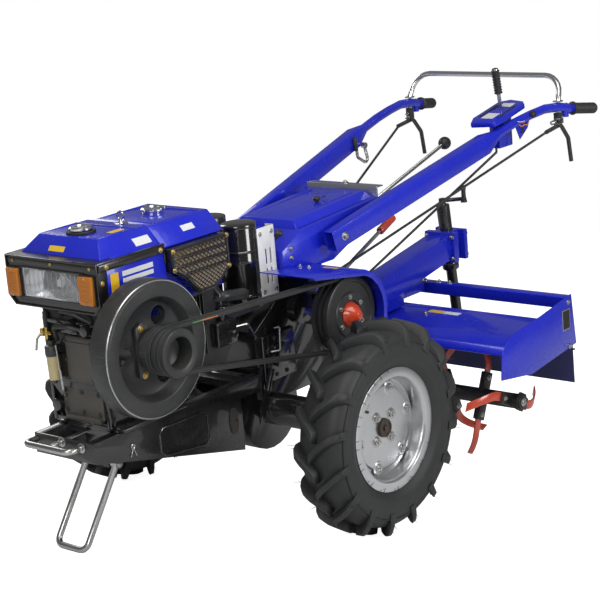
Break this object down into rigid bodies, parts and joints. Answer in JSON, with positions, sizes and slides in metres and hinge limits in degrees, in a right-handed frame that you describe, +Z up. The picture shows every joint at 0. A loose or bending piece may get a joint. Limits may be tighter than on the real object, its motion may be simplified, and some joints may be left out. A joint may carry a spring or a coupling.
{
  "type": "walking tractor",
  "caption": "Two-wheeled walking tractor with a water-cooled engine driving through belts, long handle bars, a folding front stand and a rear rotary tiller.",
  "frame": {"origin": "middle of the machine's box in X and Y, on the floor it stands on", "axes": "+X the tractor's left, the belt side; -Y its front; +Z up. The machine stands nose down on its two wheels and front stand, and every joint axis runs along X"},
  "size_m": [1.193, 2.3164, 1.3388],
  "materials": {
    "blue_paint": "glossy",
    "black_paint": "semi-gloss",
    "dark_iron": "satin",
    "bright_steel": "bright",
    "silver_paint": "satin metallic",
    "tyre_rubber": "matte",
    "belt_rubber": "matte",
    "grip_plastic": "satin",
    "orange_paint": "glossy",
    "white_sheet": "satin",
    "amber_lens": "glossy",
    "clear_lens": "glossy"
  },
  "bodies": {
    "tractor": {"air_cleaner": "black_paint", "belt_guard": "blue_paint", "chassis_frame": "black_paint", "clutch_lever": "grip_plastic", "clutch_rod": "dark_iron", "cross_strap": "dark_iron", "crossbar": "bright_steel", "cylinder_head": "dark_iron", "dash_panel": "blue_paint", "depth_post": "black_paint", "drive_belts": "belt_rubber", "engine_block": "black_paint", "front_bumper_bar": "bright_steel", "fuel_cap": "bright_steel", "fuel_filter": "dark_iron", "fuel_tank": "blue_paint", "gear_lever": "bright_steel", "gearbox": "black_paint", "grip_left": "grip_plastic", "grip_right": "grip_plastic", "handle_arm_left": "blue_paint", "handle_arm_right": "blue_paint", "headlamp": "clear_lens", "heat_shield": "white_sheet", "lamp_housing": "black_paint", "muffler": "black_paint", "radiator": "blue_paint", "radiator_cap": "bright_steel", "radiator_grille": "black_paint", "side_panel": "blue_paint", "steering_lever_left": "dark_iron", "steering_lever_right": "dark_iron", "tension_lever": "bright_steel", "throttle_cable": "grip_plastic", "tiller_beam": "blue_paint", "tiller_case": "black_paint", "tiller_drive_lever": "orange_paint", "tiller_flap": "blue_paint", "tiller_hood": "blue_paint", "tool_box": "blue_paint", "turn_signal_left": "amber_lens", "turn_signal_right": "amber_lens"},
    "wheel_left": {"rim_left": "silver_paint", "tyre_left": "tyre_rubber"},
    "wheel_right": {"rim_right": "silver_paint", "tyre_right": "tyre_rubber"},
    "flywheel_set": {"engine_pulley": "dark_iron", "flywheel": "dark_iron"},
    "clutch_set": {"clutch_cap": "orange_paint", "clutch_pulley": "black_paint"},
    "rotor": {"tiller_rotor": "orange_paint"},
    "stand": {"front_stand": "bright_steel"},
    "box_lid": {"tool_box_lid": "blue_paint"}
  },
  "joints": [
    {"name": "wheel_left_spin", "type": "hinge", "parent": "tractor", "child": "wheel_left", "pos_m": [0.514, -0.31834, 0.32], "axis": [1, 0, 0], "continuous": true},
    {"name": "wheel_right_spin", "type": "hinge", "parent": "tractor", "child": "wheel_right", "pos_m": [-0.514, -0.31834, 0.32], "axis": [1, 0, 0], "continuous": true},
    {"name": "flywheel_spin", "type": "hinge", "parent": "tractor", "child": "flywheel_set", "pos_m": [0.26, -0.96704, 0.60993], "axis": [1, 0, 0], "continuous": true},
    {"name": "clutch_pulley_spin", "type": "hinge", "parent": "tractor", "child": "clutch_set", "pos_m": [0.325, -0.20562, 0.61698], "axis": [1, 0, 0], "continuous": true},
    {"name": "tiller_rotor_spin", "type": "hinge", "parent": "tractor", "child": "rotor", "pos_m": [0, 0.44162, 0.26837], "axis": [1, 0, 0], "continuous": true},
    {"name": "front_stand_fold", "type": "hinge", "parent": "tractor", "child": "stand", "pos_m": [-0.048, -0.88891, 0.24091], "axis": [1, 0, 0], "range_deg": [0, 100]},
    {"name": "tool_box_lid_hinge", "type": "hinge", "parent": "tractor", "child": "box_lid", "pos_m": [0, -0.23034, 0.86183], "axis": [1, 0, 0], "range_deg": [0, 75]}
  ],
  "couplings": [
    {"joint": "clutch_pulley_spin", "follows": "flywheel_spin", "ratio": 0.54751}
  ]
}
